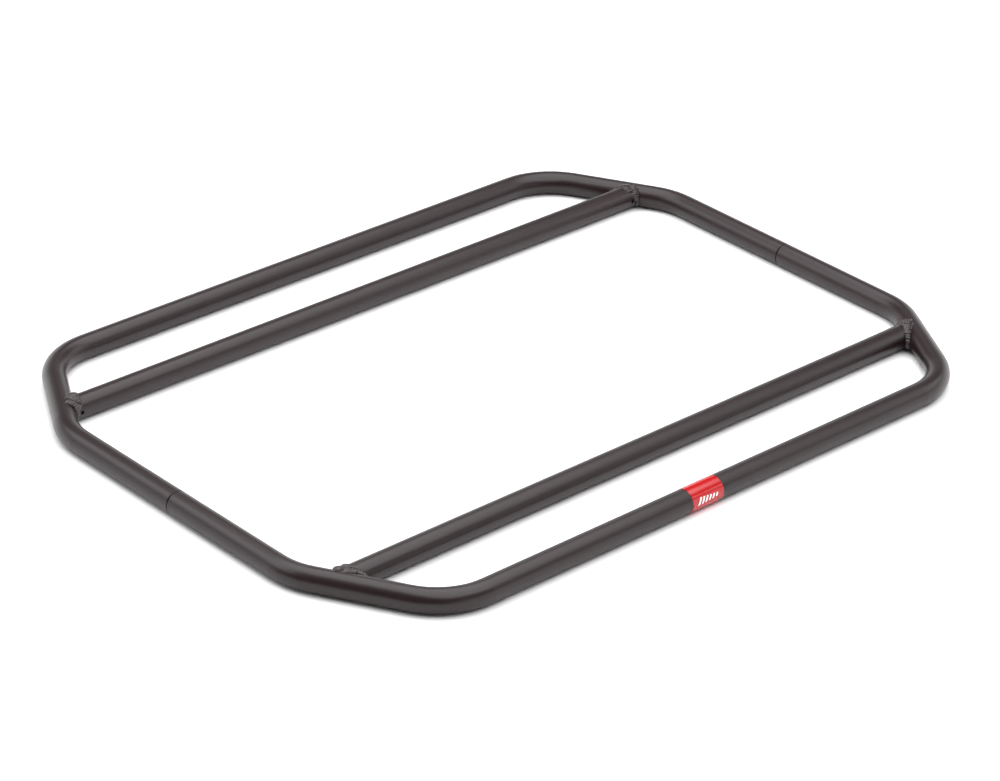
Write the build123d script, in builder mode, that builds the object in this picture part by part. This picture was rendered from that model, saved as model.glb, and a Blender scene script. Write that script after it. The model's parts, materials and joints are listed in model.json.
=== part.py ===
"""Two-piece bolt-on luggage rack: a flat loop of bent round tube with two welded cross tubes.

The loop is made of two identical halves. Each half is one tube bent into a shallow tray shape, with a cross
tube welded between its slanted corner runs. The halves butt together in the middle of the short sides, over
a connector sleeve inside the tube, and grub screws in the underside clamp the sleeve.

Frame: +X along the long sides, +Y across the rack towards the rear half, +Z up. The origin is on the resting
plane, in the middle of the loop. Millimetres.
"""

import os
from math import atan2, degrees, radians, sin, tan

from build123d import *

# ---- driving dimensions -----------------------------------------------------------------------------------
tube_diameter = 19.0
tube_wall = 2.5
frame_length = 643.0  # overall, along X
frame_width = 479.0  # overall, along Y
bend_radius = 55.0  # of the tube's centreline
corner_angle = 60.0  # between a long side and the slanted corner run, in degrees
corner_depth = 101.5  # how far along Y a corner run reaches, between the sharp corners of the centreline
cross_setback = 28.5  # of a cross tube's axis, along Y, from the sharp corner at a corner run's inner end

seam_gap = 0.6  # between the butted ends of the two halves
end_chamfer = 0.4

vent_diameter = 3.0  # lets hot gas out of a cross tube while it is welded shut
vent_from_end = 5.5  # along the tube's side, from the rail's surface to the hole's centre

bead_radius = 2.8  # of a weld bead's round section, centred in the corner between the tubes
bead_sink = 1.7  # how far that centre dips below the tops of the tubes
bead_ground = 0.4  # how far a bead is ground back underneath, from the resting plane

sleeve_length = 90.0
sleeve_clearance = 0.05  # radial, to the tube's bore
sleeve_bore = 7.0
sleeve_chamfer = 1.0

screw_diameter = 5.0  # thread size of the grub screws
screw_length = 4.0
screw_clearance = 0.05  # radial, to the tapped hole
screw_recess = 0.1  # of the screw's face, above the resting plane
screw_tip_gap = 0.05  # to the flat on the sleeve
screw_tip_chamfer = 0.8
screw_face_chamfer = 0.3
screw_from_seam = 15.0
socket_across_flats = 2.5
socket_depth = 2.0

label_length = 31.0
label_thickness = 0.12
label_glue = 0.02  # between the label's back and the tube
label_centre_x = -14.0
label_facing = 143.0  # middle of the label, as an angle round the tube from +Y towards +Z, in degrees
label_wrap = 220.0  # how much of the tube it covers, in degrees

# ---- derived sizes ----------------------------------------------------------------------------------------
tube_radius = tube_diameter / 2
bore_radius = tube_radius - tube_wall
half_length = frame_length / 2 - tube_radius  # to the tube's centreline
half_width = frame_width / 2 - tube_radius
corner_run_x = corner_depth / tan(radians(corner_angle))
corner_start_y = half_width - corner_depth
cross_y = corner_start_y + cross_setback
sleeve_radius = bore_radius - sleeve_clearance
flat_height = screw_recess + screw_length + screw_tip_gap  # of the sleeve's flat, above the resting plane

tube_plane = Plane.XY.offset(tube_radius)  # holds every tube's centreline

SIDES = {"left": -1, "right": 1}
HALVES = {"front": -1, "rear": 1}


def centreline_x(y):
    """Distance of the loop's centreline from the Y axis, at a distance y from the X axis, without its bends."""
    return half_length - max(0.0, y - corner_start_y) / tan(radians(corner_angle))


def rail_centreline(half):
    """Centreline of one half's bent rail, from its left end to its right end."""
    seam_y = seam_gap / 2
    with BuildLine(tube_plane) as line:
        FilletPolyline(
            (-half_length, half * seam_y),
            (-half_length, half * corner_start_y),
            (corner_run_x - half_length, half * half_width),
            (half_length - corner_run_x, half * half_width),
            (half_length, half * corner_start_y),
            (half_length, half * seam_y),
            radius=bend_radius,
        )
    return line.line


def rail_envelope(half, radius):
    """A half's rail as a solid rod of the given radius, used to cope and to shape what meets the rail."""
    path = rail_centreline(half)
    with BuildPart() as rod:
        with BuildSketch(Plane(path @ 0, z_dir=path % 0)):
            Circle(radius)
        sweep(path=path)
    return rod.part


def rail(half, label):
    """Bent tube of one half, with tapped holes for its two grub screws in the underside."""
    path = rail_centreline(half)
    with BuildPart() as tube:
        with BuildSketch(Plane(path @ 0, z_dir=path % 0)):
            Circle(tube_radius)
            Circle(bore_radius, mode=Mode.SUBTRACT)
        sweep(path=path)
        ends = tube.faces().filter_by(Axis.Y).group_by(SortBy.AREA)[-1]
        mouths = ends.edges().group_by(SortBy.RADIUS)[-1]
        chamfer(mouths, end_chamfer)
        with BuildSketch(Plane.XY):
            with Locations(*[(side * half_length, half * screw_from_seam) for side in SIDES.values()]):
                Circle(screw_diameter / 2)
        extrude(amount=tube_radius, mode=Mode.SUBTRACT)
    tube.part.label = label
    return tube.part


def cross_tube(half, label, envelope):
    """Straight tube coped to the rail at both ends, with a vent hole near each end on its inner side."""
    reach = centreline_x(cross_y)
    with BuildPart() as tube:
        with BuildSketch(Plane.YZ):
            with Locations((half * cross_y, tube_radius)):
                Circle(tube_radius)
                Circle(bore_radius, mode=Mode.SUBTRACT)
        extrude(amount=reach, both=True)
        add(envelope, mode=Mode.SUBTRACT)
        inner_y = cross_y - tube_radius
        rail_face = centreline_x(inner_y) - tube_radius / sin(radians(corner_angle))
        vent_x = rail_face - vent_from_end
        with BuildSketch(Plane.XZ.offset(-half * cross_y)):
            with Locations((-vent_x, tube_radius), (vent_x, tube_radius)):
                Circle(vent_diameter / 2)
        extrude(amount=half * tube_radius, mode=Mode.SUBTRACT)
    tube.part.label = label
    return tube.part


def weld_bead(side, half, label, envelope):
    """C-shaped bead in the corner between one end of a cross tube and the rail, ground back underneath.

    The corner follows two half ellipses, one on each side of the cross tube, which meet above the rail's axis.
    """
    joint = Vector(side * centreline_x(cross_y), half * cross_y, tube_radius)
    cross_way = Vector(-side, 0, 0)
    rail_way = Vector(side * corner_run_x, -half * corner_depth, 0).normalized()
    crown = tube_radius - bead_sink
    with BuildPart() as bead:
        for along in (rail_way, -rail_way):
            outward = (cross_way + along).normalized()
            half_angle = radians(cross_way.get_angle(along) / 2)
            with BuildLine(Plane(joint, x_dir=outward, z_dir=outward.cross(Vector(0, 0, 1)))) as corner:
                EllipticalCenterArc((0, 0), tube_radius / sin(half_angle), crown, -90, arc_size=180)
            path = corner.line
            with BuildSketch(Plane(path @ 0, z_dir=path % 0)):
                Circle(bead_radius)
            sweep(path=path)
        with Locations(joint + Vector(0, 0, crown)):
            Sphere(bead_radius)
        with BuildSketch(Plane.YZ.offset(joint.X)):
            with Locations((joint.Y, tube_radius)):
                Circle(tube_radius)
        extrude(amount=-side * 2 * tube_diameter, mode=Mode.SUBTRACT)
        add(envelope, mode=Mode.SUBTRACT)
        with BuildSketch(Plane.XY.offset(bead_ground)):
            with Locations((joint.X, joint.Y)):
                Rectangle(4 * tube_diameter, 4 * tube_diameter)
        extrude(amount=2 * tube_diameter, mode=Mode.INTERSECT)
    bead.part.label = label
    return bead.part


def connector_sleeve(side, label):
    """Thick-walled sleeve inside both halves, with a flat along its underside for the grub screws."""
    axis_plane = Plane((side * half_length, 0, tube_radius), x_dir=(1, 0, 0), z_dir=(0, 1, 0))
    with BuildPart() as sleeve:
        with BuildSketch(axis_plane):
            Circle(sleeve_radius)
        extrude(amount=sleeve_length / 2, both=True)
        chamfer(sleeve.edges().filter_by(GeomType.CIRCLE), sleeve_chamfer)
        with BuildSketch(axis_plane):
            Circle(sleeve_bore / 2)
        extrude(amount=sleeve_length / 2, both=True, mode=Mode.SUBTRACT)
        with BuildSketch(Plane.XY):
            with Locations((side * half_length, 0)):
                Rectangle(tube_diameter, sleeve_length)
        extrude(amount=flat_height, mode=Mode.SUBTRACT)
    sleeve.part.label = label
    return sleeve.part


def grub_screw(side, half, label):
    """Socket set screw, its face just inside the tube's underside and its tip on the sleeve's flat."""
    face_plane = Plane((side * half_length, half * screw_from_seam, screw_recess))
    with BuildPart() as screw:
        with BuildSketch(face_plane):
            Circle(screw_diameter / 2 - screw_clearance)
        extrude(amount=screw_length)
        rims = screw.edges().filter_by(GeomType.CIRCLE).sort_by(Axis.Z)
        chamfer(rims[-1], screw_tip_chamfer)
        chamfer(rims[0], screw_face_chamfer)
        with BuildSketch(face_plane):
            RegularPolygon(socket_across_flats / 2, side_count=6, major_radius=False)
        extrude(amount=socket_depth, mode=Mode.SUBTRACT)
    screw.part.label = label
    return screw.part


def front_label():
    """Thin wrap-round label on the front long side."""
    inner = tube_radius + label_glue
    outer = inner + label_thickness
    start = label_facing - label_wrap / 2
    section_plane = Plane(
        (label_centre_x - label_length / 2, -half_width, tube_radius), x_dir=(0, 1, 0), z_dir=(1, 0, 0)
    )
    with BuildPart() as wrap:
        with BuildSketch(section_plane):
            with BuildLine():
                outside = CenterArc((0, 0), outer, start, label_wrap)
                inside = CenterArc((0, 0), inner, start, label_wrap)
                Line(outside @ 0, inside @ 0)
                Line(outside @ 1, inside @ 1)
            make_face()
        extrude(amount=label_length)
    wrap.part.label = "front_label"
    return wrap.part


os.makedirs("parts", exist_ok=True)
pieces = [front_label()]
for half_name, half in HALVES.items():
    envelope = rail_envelope(half, tube_radius)
    pieces.append(rail(half, f"{half_name}_rail"))
    pieces.append(cross_tube(half, f"{half_name}_cross_tube", envelope))
    for side_name, side in SIDES.items():
        place = f"{half_name}_{side_name}"
        pieces.append(weld_bead(side, half, f"{place}_weld", envelope))
        pieces.append(grub_screw(side, half, f"{place}_grub_screw"))
for side_name, side in SIDES.items():
    pieces.append(connector_sleeve(side, f"{side_name}_connector_sleeve"))

for piece in pieces:
    export_step(piece, f"parts/{piece.label}.step")
    print(f"{piece.label}: {len(piece.solids())} solid, {piece.volume:.1f} mm3")
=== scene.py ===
# %% [markdown]
# # A bolt-on luggage rack frame
# The rack is a flat loop of bent round tube in two halves, with a straight cross tube welded into each half.
# The tubes, sleeves and screws come ready made from CAD, and they are exact, so they stay as they are and
# only get their finishes here. What CAD leaves plain is the hand work: the rippled weld beads, and the
# printed film round the front rail. Those are modelled below, after the studio that shows them.

# %% Load the frame
import json
import math

import bpy
from mathutils import Matrix, Vector

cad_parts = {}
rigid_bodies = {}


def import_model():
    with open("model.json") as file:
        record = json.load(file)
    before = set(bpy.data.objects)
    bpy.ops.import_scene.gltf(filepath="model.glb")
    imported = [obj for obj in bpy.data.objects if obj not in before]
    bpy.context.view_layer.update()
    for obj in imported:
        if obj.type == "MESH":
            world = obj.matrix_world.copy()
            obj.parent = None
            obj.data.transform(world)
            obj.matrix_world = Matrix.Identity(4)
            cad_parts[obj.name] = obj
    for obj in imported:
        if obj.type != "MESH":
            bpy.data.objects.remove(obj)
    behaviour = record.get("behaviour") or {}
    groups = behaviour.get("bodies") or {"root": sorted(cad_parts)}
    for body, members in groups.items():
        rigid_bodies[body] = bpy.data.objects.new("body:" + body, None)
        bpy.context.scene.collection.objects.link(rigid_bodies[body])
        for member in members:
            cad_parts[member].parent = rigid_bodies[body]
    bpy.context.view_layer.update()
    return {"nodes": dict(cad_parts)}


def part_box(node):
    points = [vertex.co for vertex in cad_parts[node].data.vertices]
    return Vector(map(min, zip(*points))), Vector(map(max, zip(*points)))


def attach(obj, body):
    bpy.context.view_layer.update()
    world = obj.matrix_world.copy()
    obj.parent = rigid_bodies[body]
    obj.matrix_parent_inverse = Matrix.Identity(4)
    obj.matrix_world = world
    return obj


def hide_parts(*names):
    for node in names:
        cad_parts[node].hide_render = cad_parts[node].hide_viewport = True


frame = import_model()
nodes = frame["nodes"]
MM = 0.001

# %% [markdown]
# ## Measures
# What is modelled on the rack is placed from the rack's own boxes. The cross tube's box gives the tube's
# radius and the joint's place, because the tube's coped tip ends right above the rail's axis. The corner
# run's slant is the one angle that a box can't tell. The view, the lights and the bead's sizes are given.

# %% Tube radius and joint places
rail_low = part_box("front_rail")[0]
cross_low, cross_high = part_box("rear_cross_tube")
tube_radius = (cross_high.z - cross_low.z) / 2
cross_y = (cross_high.y + cross_low.y) / 2
joint_x = cross_high.x
corner_angle = math.radians(60)
print(f"tube radius {tube_radius / MM:.2f} mm, joints at {joint_x / MM:.1f}, {cross_y / MM:.1f} mm")

# %% [markdown]
# ## The camera
# A long lens from well above keeps the tubes almost the same thickness from front to back. It is aimed by
# compass angle, height angle and distance from a point on the floor, and leans a little to one side.

# %% Camera
view_azimuth = math.radians(-43.31)
view_elevation = math.radians(28.77)
view_roll = math.radians(1.97)
view_distance = 2.9414
aim_point = Vector((-0.0089, -0.0109, 0.0))
lens_mm = 139.2
sensor_mm = 36

towards_camera = Vector(
    (
        math.sin(view_azimuth) * math.cos(view_elevation),
        -math.cos(view_azimuth) * math.cos(view_elevation),
        math.sin(view_elevation),
    )
)
bpy.ops.object.camera_add(location=aim_point + view_distance * towards_camera)
camera = bpy.context.object
camera.name = "camera"
camera.rotation_mode = "QUATERNION"
level_look = towards_camera.to_track_quat("Z", "Y")
camera.rotation_quaternion = level_look @ Matrix.Rotation(view_roll, 3, "Z").to_quaternion()
camera.data.sensor_width = sensor_mm
camera.data.lens = lens_mm
camera.data.clip_end = 50
bpy.context.scene.camera = camera

# %% [markdown]
# ## The studio
# Satin black shows what is around it more than its own colour, so the studio is built to be reflected. A
# soft box hangs low over the rack, a second one stands further back on the left, and a small one to the
# right in front. The floor is white, the wall behind it glows low down, and the rest of the room is dark.
# The gaps between the lights draw the dark lines along the tubes.

# %% Floor
floor_size = 30
floor_white = 0.9
bpy.ops.mesh.primitive_plane_add(size=floor_size, location=(0, 0, 0))
floor = bpy.context.object
floor.name = "floor"
floor_paint = bpy.data.materials.new("floor_paint")
floor_paint.use_nodes = True
floor_shader = floor_paint.node_tree.nodes["Principled BSDF"]
floor_shader.inputs["Base Color"].default_value = (floor_white, floor_white, floor_white, 1)
floor_shader.inputs["Roughness"].default_value = 0.9
floor_shader.inputs["Specular IOR Level"].default_value = 0.0
floor.data.materials.append(floor_paint)


# %% Soft boxes
def soft_box(name, place, width, depth, radiance):
    """A flat light that faces straight down and is equally bright all over."""
    bpy.ops.object.light_add(type="AREA", location=place)
    lamp = bpy.context.object
    lamp.name = name
    lamp.data.shape = "RECTANGLE"
    lamp.data.size = width
    lamp.data.size_y = depth
    lamp.data.energy = radiance * math.pi * width * depth
    print(f"{name}: {lamp.data.energy:.0f} W")


box_height = 1.6
soft_box("main_box", (0.16, -0.19, box_height), 2.32, 3.0, 3.4)
soft_box("back_left_box", (-1.83, 1.65, box_height), 2.53, 2.48, 3.0)
soft_box("front_right_box", (2.68, -1.36, box_height), 1.65, 2.53, 2.75)

# %% Room
# The wall's glow fades out between about 6 and 26 degrees up, and there is no wall on the left in front.
wall_glow = 2.1
room_glow = 0.1
open_side = Vector((-0.927, -0.375, 0))
opening_starts, opening_full = 0.40, 0.75
glow_starts_fading, glow_gone = 0.10, 0.44
world = bpy.data.worlds.new("room")
bpy.context.scene.world = world
world.use_nodes = True
room = world.node_tree
room.nodes.clear()
direction = room.nodes.new("ShaderNodeTexCoord")
split = room.nodes.new("ShaderNodeSeparateXYZ")
room.links.new(direction.outputs["Generated"], split.inputs[0])


def fade(source, start, end, first, last):
    """Turns a value that runs from start to end into one that eases from first to last."""
    ramp = room.nodes.new("ShaderNodeMapRange")
    ramp.interpolation_type = "SMOOTHSTEP"
    ramp.inputs["From Min"].default_value = start
    ramp.inputs["From Max"].default_value = end
    ramp.inputs["To Min"].default_value = first
    ramp.inputs["To Max"].default_value = last
    room.links.new(source, ramp.inputs["Value"])
    return ramp.outputs["Result"]


sideways = room.nodes.new("ShaderNodeVectorMath")
sideways.operation = "DOT_PRODUCT"
sideways.inputs[1].default_value = open_side
room.links.new(direction.outputs["Generated"], sideways.inputs[0])
walled = fade(sideways.outputs["Value"], opening_starts, opening_full, 1.0, 0.0)
glow = room.nodes.new("ShaderNodeMath")
glow.operation = "MULTIPLY_ADD"
glow.inputs[2].default_value = room_glow
low_glow = fade(split.outputs["Z"], glow_starts_fading, glow_gone, wall_glow, 0.0)
room.links.new(low_glow, glow.inputs[0])
room.links.new(walled, glow.inputs[1])
backdrop = room.nodes.new("ShaderNodeBackground")
output = room.nodes.new("ShaderNodeOutputWorld")
room.links.new(glow.outputs[0], backdrop.inputs["Strength"])
room.links.new(backdrop.outputs[0], output.inputs[0])
bpy.context.scene.view_settings.view_transform = "Standard"
print("world nodes:", len(room.nodes))


# %% [markdown]
# ## Powder coat
# Powder coat is plastic melted on the metal. It is nearly black in itself, with a soft shine, and it
# sets with a fine ripple, as on an orange's skin.

# %% Node helpers
def link(material, source, socket, target, name):
    """Joins one node's output to another node's input."""
    material.node_tree.links.new(source.outputs[socket], target.inputs[name])


def object_noise(material, size, detail=2.0):
    """A noise texture fixed to the piece, whose blotches are about the given size in metres."""
    place = material.node_tree.nodes.new("ShaderNodeTexCoord")
    noise = material.node_tree.nodes.new("ShaderNodeTexNoise")
    noise.inputs["Scale"].default_value = 1 / size
    noise.inputs["Detail"].default_value = detail
    link(material, place, "Object", noise, "Vector")
    return noise


def spread(material, source, low, high, target, name):
    """Stretches a noise value over a range and feeds it to an input."""
    span = material.node_tree.nodes.new("ShaderNodeMapRange")
    span.inputs["From Min"].default_value = 0.3
    span.inputs["From Max"].default_value = 0.7
    span.inputs["To Min"].default_value = low
    span.inputs["To Max"].default_value = high
    link(material, source, "Fac", span, "Value")
    link(material, span, "Result", target, name)


def bumped(material, noise, depth, shader, before=None):
    """Raises the surface by a noise, to the given depth in metres, on top of another bump."""
    bump = material.node_tree.nodes.new("ShaderNodeBump")
    bump.inputs["Distance"].default_value = depth
    link(material, noise, "Fac", bump, "Height")
    if before is not None:
        link(material, before, "Normal", bump, "Normal")
    link(material, bump, "Normal", shader, "Normal")
    return bump


def blend_colours(material, noise, first, second, shader):
    """Drifts a shader's colour between two colours by a noise."""
    mix = material.node_tree.nodes.new("ShaderNodeMix")
    mix.data_type = "RGBA"
    mix.inputs["A"].default_value = (*first, 1)
    mix.inputs["B"].default_value = (*second, 1)
    link(material, noise, "Fac", mix, "Factor")
    link(material, mix, "Result", shader, "Base Color")


# %% Powder coat finish
coat_dark = (0.0112, 0.0046, 0.0056)
coat_light = (0.0160, 0.0084, 0.0094)


def powder_coat(name, ripple_depth, gloss_low, gloss_high, shine):
    """Satin black powder coat: a dark, slightly warm colour over fine ripples and finer grain."""
    material = bpy.data.materials.new(name)
    material.use_nodes = True
    shader = material.node_tree.nodes["Principled BSDF"]
    shader.inputs["Specular IOR Level"].default_value = shine
    drift = object_noise(material, 25 * MM, 3.0)
    blend_colours(material, drift, coat_dark, coat_light, shader)
    grain = object_noise(material, 0.35 * MM, 1.0)
    spread(material, grain, gloss_low, gloss_high, shader, "Roughness")
    peel = object_noise(material, 1.3 * MM, 2.0)
    first = bumped(material, peel, ripple_depth, shader)
    bumped(material, grain, ripple_depth / 4, shader, first)
    return material


tube_coat = powder_coat("tube_coat", 0.045 * MM, 0.28, 0.38, 0.40)
weld_coat = powder_coat("weld_coat", 0.02 * MM, 0.12, 0.22, 0.52)


# %% [markdown]
# ## Bare metal
# The sleeves are turned metal with a soft shine, coloured much darker than bare metal as painted shade, so
# that the thin seam between the halves, where they show through, reads as a dark line. The grub screws are
# blackened steel. Apart from that seam, neither shows until the halves are pulled apart or the rack is
# turned over.

# %% Sleeve and screw finishes
def metal(name, dark, light, rough_low, rough_high, grain_size):
    """Bare metal with a slight drift of colour and a fine uneven shine."""
    material = bpy.data.materials.new(name)
    material.use_nodes = True
    shader = material.node_tree.nodes["Principled BSDF"]
    shader.inputs["Metallic"].default_value = 1.0
    drift = object_noise(material, 4 * MM, 3.0)
    blend_colours(material, drift, dark, light, shader)
    grain = object_noise(material, grain_size)
    spread(material, grain, rough_low, rough_high, shader, "Roughness")
    bumped(material, grain, 0.01 * MM, shader)
    return material


# The sleeve's colour is painted shade: far darker than bare metal, so the seam it shows through reads as a
# dark line.
sleeve_metal_with_painted_shade = metal("sleeve_metal_with_painted_shade", (0.22, 0.22, 0.225), (0.29, 0.29, 0.295), 0.32, 0.46, 0.5 * MM)
screw_metal = metal("screw_metal", (0.030, 0.029, 0.031), (0.055, 0.052, 0.055), 0.35, 0.50, 0.3 * MM)


# %% Give the CAD nodes their finishes
def dress(node, material):
    """Puts one material on a CAD node."""
    node.data.materials.clear()
    node.data.materials.append(material)


for name, node in nodes.items():
    if name.endswith("_rail") or name.endswith("_cross_tube"):
        dress(node, tube_coat)
    elif name.endswith("_weld"):
        dress(node, weld_coat)
    elif name.endswith("_sleeve"):
        dress(node, sleeve_metal_with_painted_shade)
    elif name.endswith("_screw"):
        dress(node, screw_metal)

# %% [markdown]
# ## Printed film
# The label is a glossy red film wrapped round the rail, with a row of plain white slanted bars printed on
# its outer face, each shorter than the one before. The material draws them: it measures how far along and
# how far round the rail a point is, and the point is white where it is near the middle line of a bar.

# %% Film
film_low, film_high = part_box("front_label")
rail_y = rail_low.y + tube_radius
rail_z = tube_radius
film_radius = rail_y - film_low.y
emblem_facing = math.radians(171)
bar_pitch = 3.4 * MM
emblem_length = 6 * bar_pitch
bar_width = 1.7 * MM
bar_slant = math.radians(24)
tall_bar = 6.4 * MM
short_bar = 2.4 * MM
print(f"film radius {film_radius / MM:.2f} mm")

film = bpy.data.materials.new("film")
film.use_nodes = True
film_shader = film.node_tree.nodes["Principled BSDF"]
film_shader.inputs["Roughness"].default_value = 0.12
film_red = (0.40, 0.0085, 0.0105)
film_white = (0.85, 0.85, 0.85)


def maths(operation, first, second=None, third=None, clamp=False):
    """One arithmetic node of the film; each value is a number or another node."""
    node = film.node_tree.nodes.new("ShaderNodeMath")
    node.operation = operation
    node.use_clamp = clamp
    for index, value in enumerate((first, second, third)):
        if value is None:
            continue
        if isinstance(value, (int, float)):
            node.inputs[index].default_value = value
        else:
            film.node_tree.links.new(value, node.inputs[index])
    return node.outputs[0]


place = film.node_tree.nodes.new("ShaderNodeTexCoord")
parts = film.node_tree.nodes.new("ShaderNodeSeparateXYZ")
link(film, place, "Object", parts, "Vector")
film_centre_x = (film_low.x + film_high.x) / 2
along = maths("SUBTRACT", parts.outputs["X"], film_centre_x)
outwards = maths("SUBTRACT", rail_y, parts.outputs["Y"])
upwards = maths("SUBTRACT", parts.outputs["Z"], rail_z)
facing = maths("ARCTAN2", upwards, outwards)
around = maths("MULTIPLY", maths("SUBTRACT", facing, math.pi - emblem_facing), film_radius)
leaning = maths("SUBTRACT", along, maths("MULTIPLY", around, math.tan(bar_slant)))
off_bar = maths("PINGPONG", maths("ADD", leaning, 10.5 * bar_pitch), bar_pitch / 2)
shrink = (short_bar - tall_bar) / (2 * emblem_length)
half_height = maths("MULTIPLY_ADD", leaning, shrink, (tall_bar + short_bar) / 4)
soft_edge = 0.06 * MM


def inked(half_width, distance):
    """1 where a distance is under the half width, fading to 0 over a soft edge."""
    return maths("DIVIDE", maths("SUBTRACT", half_width, distance), soft_edge, clamp=True)


inside = inked(emblem_length / 2, maths("ABSOLUTE", leaning))
marks = maths("MULTIPLY", inked(bar_width / 2, off_bar), inked(half_height, maths("ABSOLUTE", around)))
ink = maths("MULTIPLY", marks, inside)
print_mix = film.node_tree.nodes.new("ShaderNodeMix")
print_mix.data_type = "RGBA"
print_mix.inputs["A"].default_value = (*film_red, 1)
print_mix.inputs["B"].default_value = (*film_white, 1)
film.node_tree.links.new(ink, print_mix.inputs["Factor"])
link(film, print_mix, "Result", film_shader, "Base Color")
dress(nodes["front_label"], film)


# %% [markdown]
# ## Weld beads
# A bead laid by hand with a filler rod is a row of little frozen pools, each lying on the one before, like
# a toppled stack of coins. One pool is a squashed ball. Balls set close together along the corner, then
# wrapped in one skin, keep the ripples and lose the inner walls. Where the bead is broad enough, two rows
# of balls lie side by side. The corner runs over the crown of the
# tubes and down both sides, and the bead is ground flat underneath so that the rack lies level.

# %% Where a bead runs
# The cross tube's end was cut short on top, so there the bead is broad and reaches far along the cross tube.
blunt_leg = 2.0 * MM
sharp_leg = 4.6 * MM
crown_leg = 12.8 * MM
blunt_rail_leg = 2.0 * MM
sharp_rail_leg = 5.2 * MM
crown_rail_leg = 3.4 * MM
crown_pull = 2.2 * MM
bead_crown = 1.0 * MM
ground_height = 0.4 * MM
skin_voxel = 0.2 * MM
pool_sink = 1.0 * MM
pool_pitch = 2.3 * MM
pool_width = 6.5 * MM
pool_reach = 0.68 * pool_pitch
pool_tilt = math.radians(28)
rail_way = Vector((math.cos(corner_angle), -math.sin(corner_angle), 0))
cross_way = Vector((-1, 0, 0))
joint = Vector((joint_x, cross_y, tube_radius))


def eased(value, start, end):
    """0 before start, 1 after end, and a smooth rise between."""
    share = min(1.0, max(0.0, (value - start) / (end - start)))
    return share * share * (3 - 2 * share)


def corner_point(along_rail, turn):
    """Point of the corner between the tubes; turn runs from -90 degrees underneath to 90 on the crown."""
    outward = (cross_way + along_rail).normalized()
    reach = tube_radius / math.sin(cross_way.angle(along_rail) / 2)
    return joint + outward * reach * math.cos(turn) + Vector((0, 0, tube_radius * math.sin(turn)))


def bead_edges(along_rail, turn):
    """The bead's edge on the cross tube and its edge on the rail, at one turn."""
    corner = corner_point(along_rail, turn)
    if cross_way.dot(along_rail) < 0:
        rise = eased(turn, math.radians(-10), math.radians(72))
        leg, rail_leg = blunt_leg, blunt_rail_leg
    else:
        rise = eased(turn, math.radians(10), math.radians(100))
        leg, rail_leg = sharp_leg, sharp_rail_leg
    on_cross = corner + cross_way * (leg + (crown_leg - leg) * rise)
    on_rail = corner + along_rail * (rail_leg + (crown_rail_leg - rail_leg) * rise)
    on_rail += cross_way * crown_pull * rise
    return on_cross, on_rail


def even_turns(along_rail, pitch):
    """Turns that are one pitch apart along the bead's middle, from the underside up to the crown."""
    steps = 400
    turns = [math.pi * (i / steps - 0.5) for i in range(steps + 1)]
    middles = [sum(bead_edges(along_rail, t), Vector()) / 2 for t in turns]
    lengths = [0.0]
    for before, after in zip(middles, middles[1:]):
        lengths.append(lengths[-1] + (after - before).length)
    count = max(2, round(lengths[-1] / pitch))
    picked = []
    for k in range(count + 1):
        wanted = lengths[-1] * k / count
        nearest = min(range(steps + 1), key=lambda i: abs(lengths[i] - wanted))
        picked.append(turns[nearest])
    return picked


for side_way in (rail_way, -rail_way):
    print("steps up this side:", len(even_turns(side_way, pool_pitch)))


# %% Pools across the bead
def deselect_all():
    """Leaves nothing selected, so that an operator acts only on what comes next."""
    for selected in list(bpy.context.selected_objects):
        selected.select_set(False)


def add_pools(along_rail, turn, index):
    """Squashed balls side by side across the bead, each leaning on the one below it."""
    on_cross, on_rail = bead_edges(along_rail, turn)
    across = (on_cross - on_rail).normalized()
    width = (on_cross - on_rail).length
    nudge = math.radians(1)
    ahead = sum(bead_edges(along_rail, turn + nudge), Vector())
    ahead -= sum(bead_edges(along_rail, turn - nudge), Vector())
    ahead = (ahead - ahead.dot(across) * across).normalized()
    outward = across.cross(ahead).normalized()
    if outward.dot((on_cross + on_rail) / 2 - joint) < 0:
        outward = -outward
    depth = bead_crown + pool_sink
    swell = 1 / math.sqrt(1 - (pool_sink / depth) ** 2)
    axes = Matrix((across, ahead, outward)).transposed()
    lean = Matrix.Rotation(-pool_tilt, 3, "X")
    rows = max(1, round(width / pool_width))
    pools = []
    for row in range(rows):
        hand = math.sin(5.1 * index + 2.7 * row) * math.cos(2.3 * index - 1.9 * row)
        middle = on_rail.lerp(on_cross, (row + 0.5) / rows)
        middle += ahead * pool_pitch * (0.5 * (row % 2) + 0.12 * hand) - outward * pool_sink
        half_width = width / (2 * rows) * swell * (1 + 0.08 * hand)
        bpy.ops.mesh.primitive_uv_sphere_add(segments=32, ring_count=16, radius=1)
        pool = bpy.context.object
        stretch = Matrix.Diagonal((half_width, pool_reach, depth * (1 + 0.06 * hand)))
        pool.data.transform(Matrix.Translation(middle) @ (axes @ lean @ stretch).to_4x4())
        pool.location = (0, 0, 0)
        pools.append(pool)
    return pools


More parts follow.
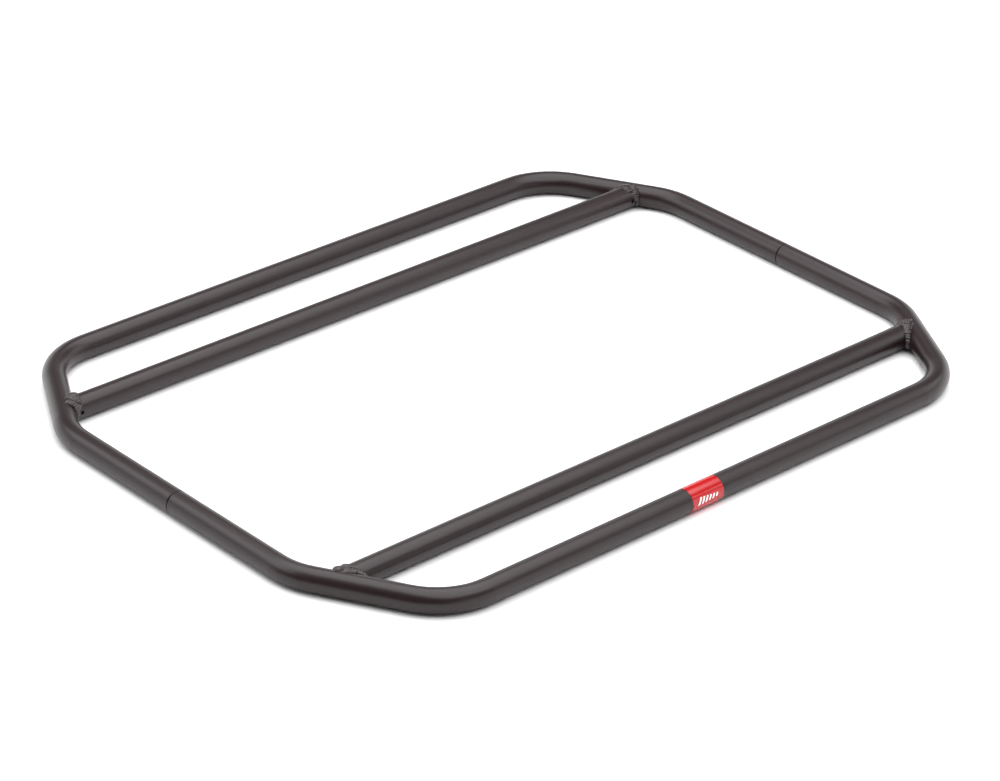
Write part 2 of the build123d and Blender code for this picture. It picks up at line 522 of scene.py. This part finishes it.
# %% One whole bead
def keep_outer_skin(bead):
    """Deletes bubbles left between the pools: whatever isn't joined to the topmost vertex."""
    before = len(bead.data.vertices)
    topmost = max(bead.data.vertices, key=lambda vertex: vertex.co.z).index
    bpy.ops.object.mode_set(mode="EDIT")
    bpy.ops.mesh.select_mode(type="VERT")
    bpy.ops.mesh.select_all(action="DESELECT")
    bpy.ops.object.mode_set(mode="OBJECT")
    bead.data.vertices[topmost].select = True
    bpy.ops.object.mode_set(mode="EDIT")
    bpy.ops.mesh.select_linked()
    bpy.ops.mesh.select_all(action="INVERT")
    bpy.ops.mesh.delete(type="VERT")
    bpy.ops.object.mode_set(mode="OBJECT")
    print("bubble vertices removed:", before - len(bead.data.vertices))


def make_bead():
    """The bead of the rear right joint: pools along both sides, one skin, ground flat underneath."""
    deselect_all()
    pools = []
    for along_rail in (rail_way, -rail_way):
        for index, turn in enumerate(even_turns(along_rail, pool_pitch)):
            pools += add_pools(along_rail, turn, index)
    for pool in pools:
        pool.select_set(True)
    bpy.context.view_layer.objects.active = pools[-1]
    bpy.ops.object.join()
    bead = bpy.context.object
    skin = bead.modifiers.new("skin", "REMESH")
    skin.mode = "VOXEL"
    skin.voxel_size = skin_voxel
    bpy.ops.object.modifier_apply(modifier=skin.name)
    soften = bead.modifiers.new("soften", "SMOOTH")
    soften.factor = 0.5
    soften.iterations = 1
    bpy.ops.object.modifier_apply(modifier=soften.name)
    keep_outer_skin(bead)
    bpy.ops.object.mode_set(mode="EDIT")
    bpy.ops.mesh.select_all(action="SELECT")
    bpy.ops.mesh.bisect(
        plane_co=(0, 0, ground_height),
        plane_no=(0, 0, -1),
        use_fill=True,
        clear_outer=True,
        threshold=1e-6,
    )
    bpy.ops.object.mode_set(mode="OBJECT")
    bpy.ops.object.shade_smooth_by_angle(angle=math.radians(50))
    return bead


master_bead = make_bead()
print("bead triangles:", sum(len(p.vertices) - 2 for p in master_bead.data.polygons))

# %% [markdown]
# The rack is the same from left to right and from front to back, so one bead makes all four. A mirrored
# copy is inside out until its normals are turned back.

# %% Four beads
for half_name, half in (("front", -1), ("rear", 1)):
    for side_name, side in (("left", -1), ("right", 1)):
        bead = master_bead.copy()
        bead.data = master_bead.data.copy()
        bead.name = f"{half_name}_{side_name}_weld_bead"
        bpy.context.collection.objects.link(bead)
        bead.data.transform(Matrix.Diagonal((side, half, 1, 1)))
        if side * half < 0:
            bead.data.flip_normals()
        bead.data.materials.clear()
        bead.data.materials.append(weld_coat)
        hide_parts(f"{half_name}_{side_name}_weld")
        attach(bead, f"{half_name}_half")
bpy.data.objects.remove(master_bead)
print("beads placed")
